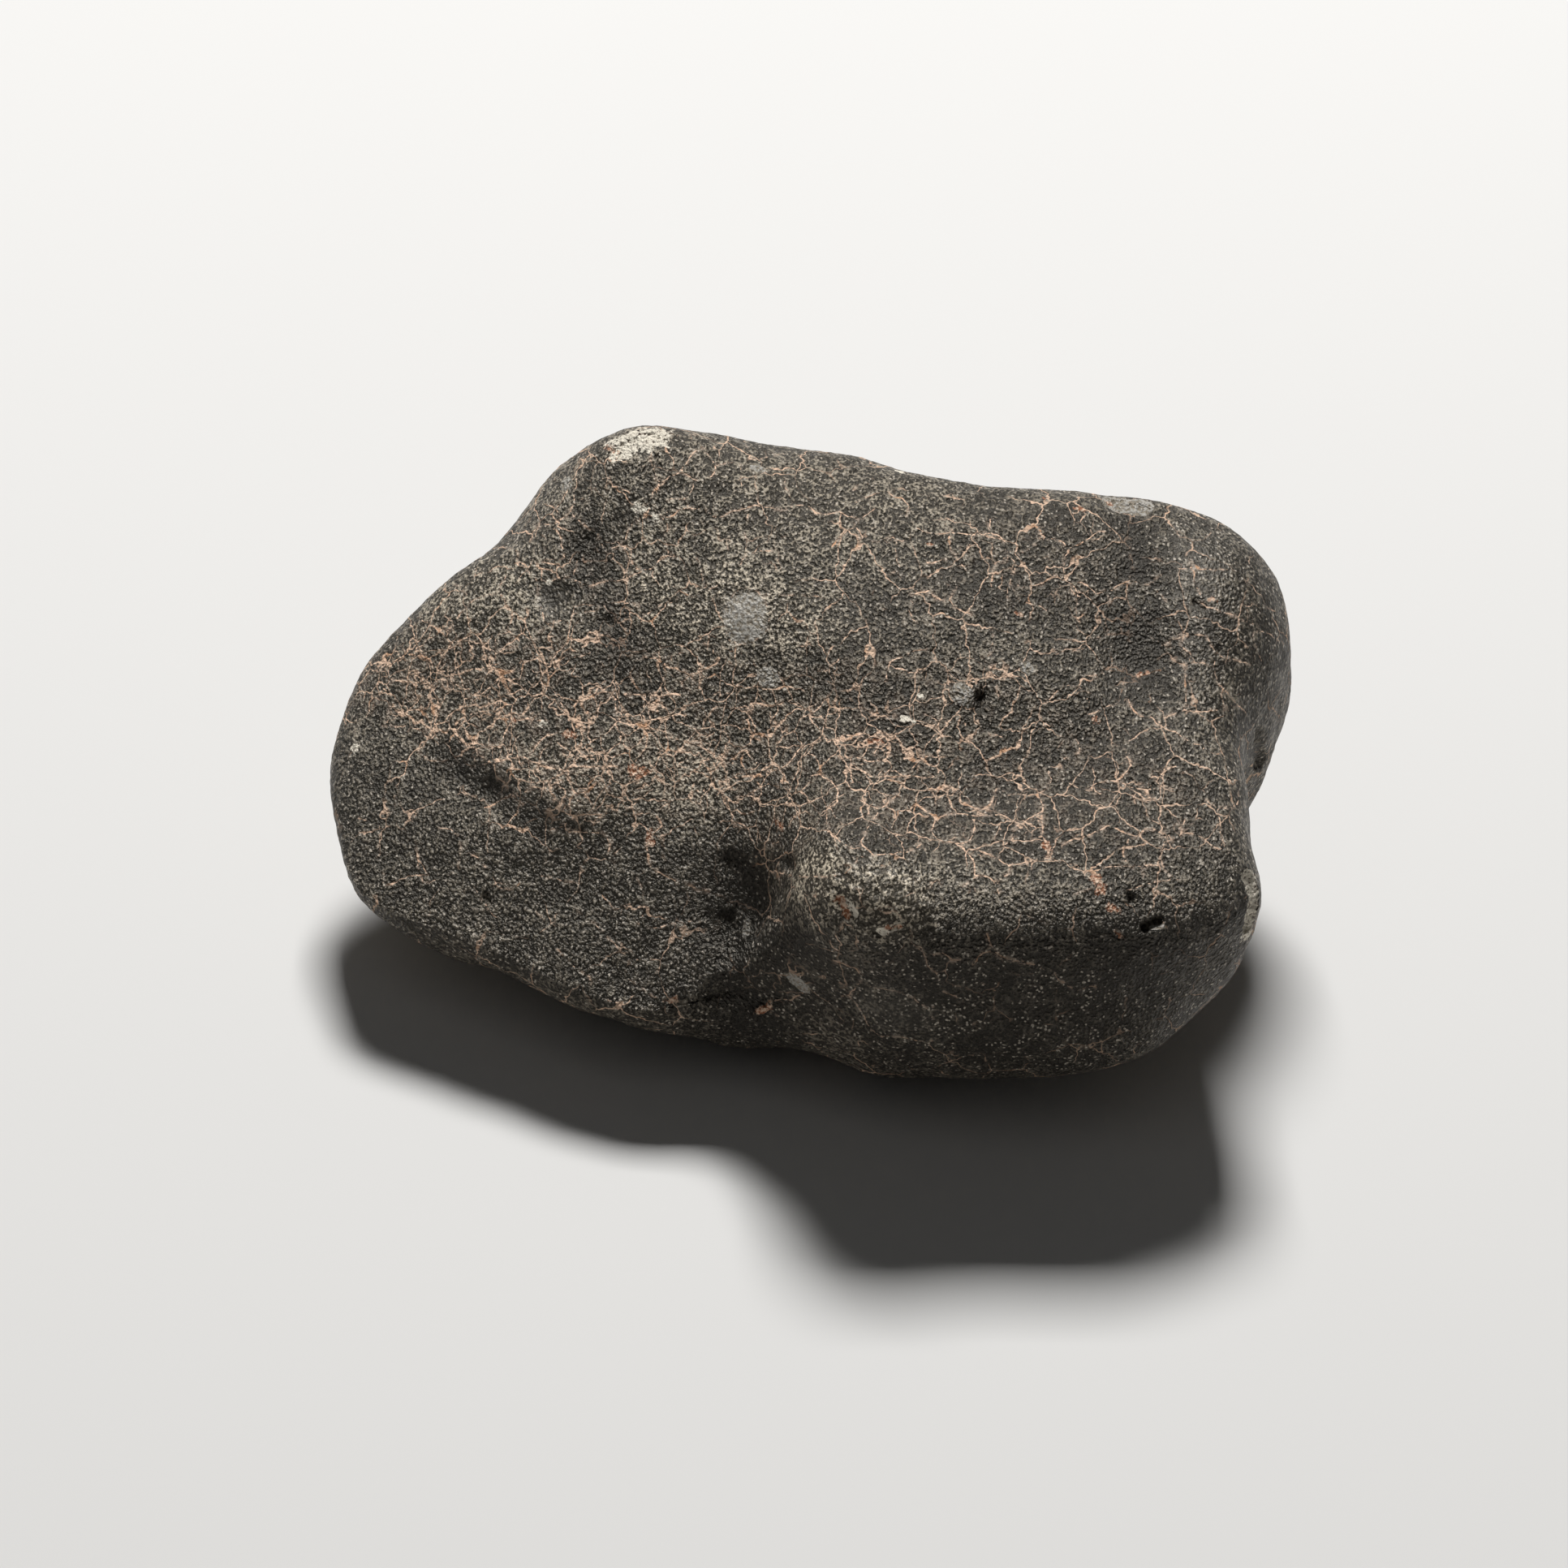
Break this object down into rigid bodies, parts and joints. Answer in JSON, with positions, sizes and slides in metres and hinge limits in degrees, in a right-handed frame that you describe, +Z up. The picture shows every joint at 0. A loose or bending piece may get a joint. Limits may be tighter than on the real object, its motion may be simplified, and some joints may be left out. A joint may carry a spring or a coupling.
{
  "type": "chondrite meteorite",
  "caption": "Stony meteorite with a dark crazed fusion crust, shallow thumbprint hollows and a notched wall, lying on its small flat spot.",
  "frame": {"origin": "on the surface that the stone lies on, under the middle of its outline", "axes": "+X along the stone's long side towards its rounded right shoulder, +Y away from the notched wall, +Z up"},
  "size_m": [0.0608, 0.0438, 0.0282],
  "materials": {
    "crust": "matt dark grey fusion crust with a fine grain, crossed by a net of thin pale peach cracks"
  },
  "bodies": {
    "root": {"stone": "crust"}
  },
  "joints": []
}
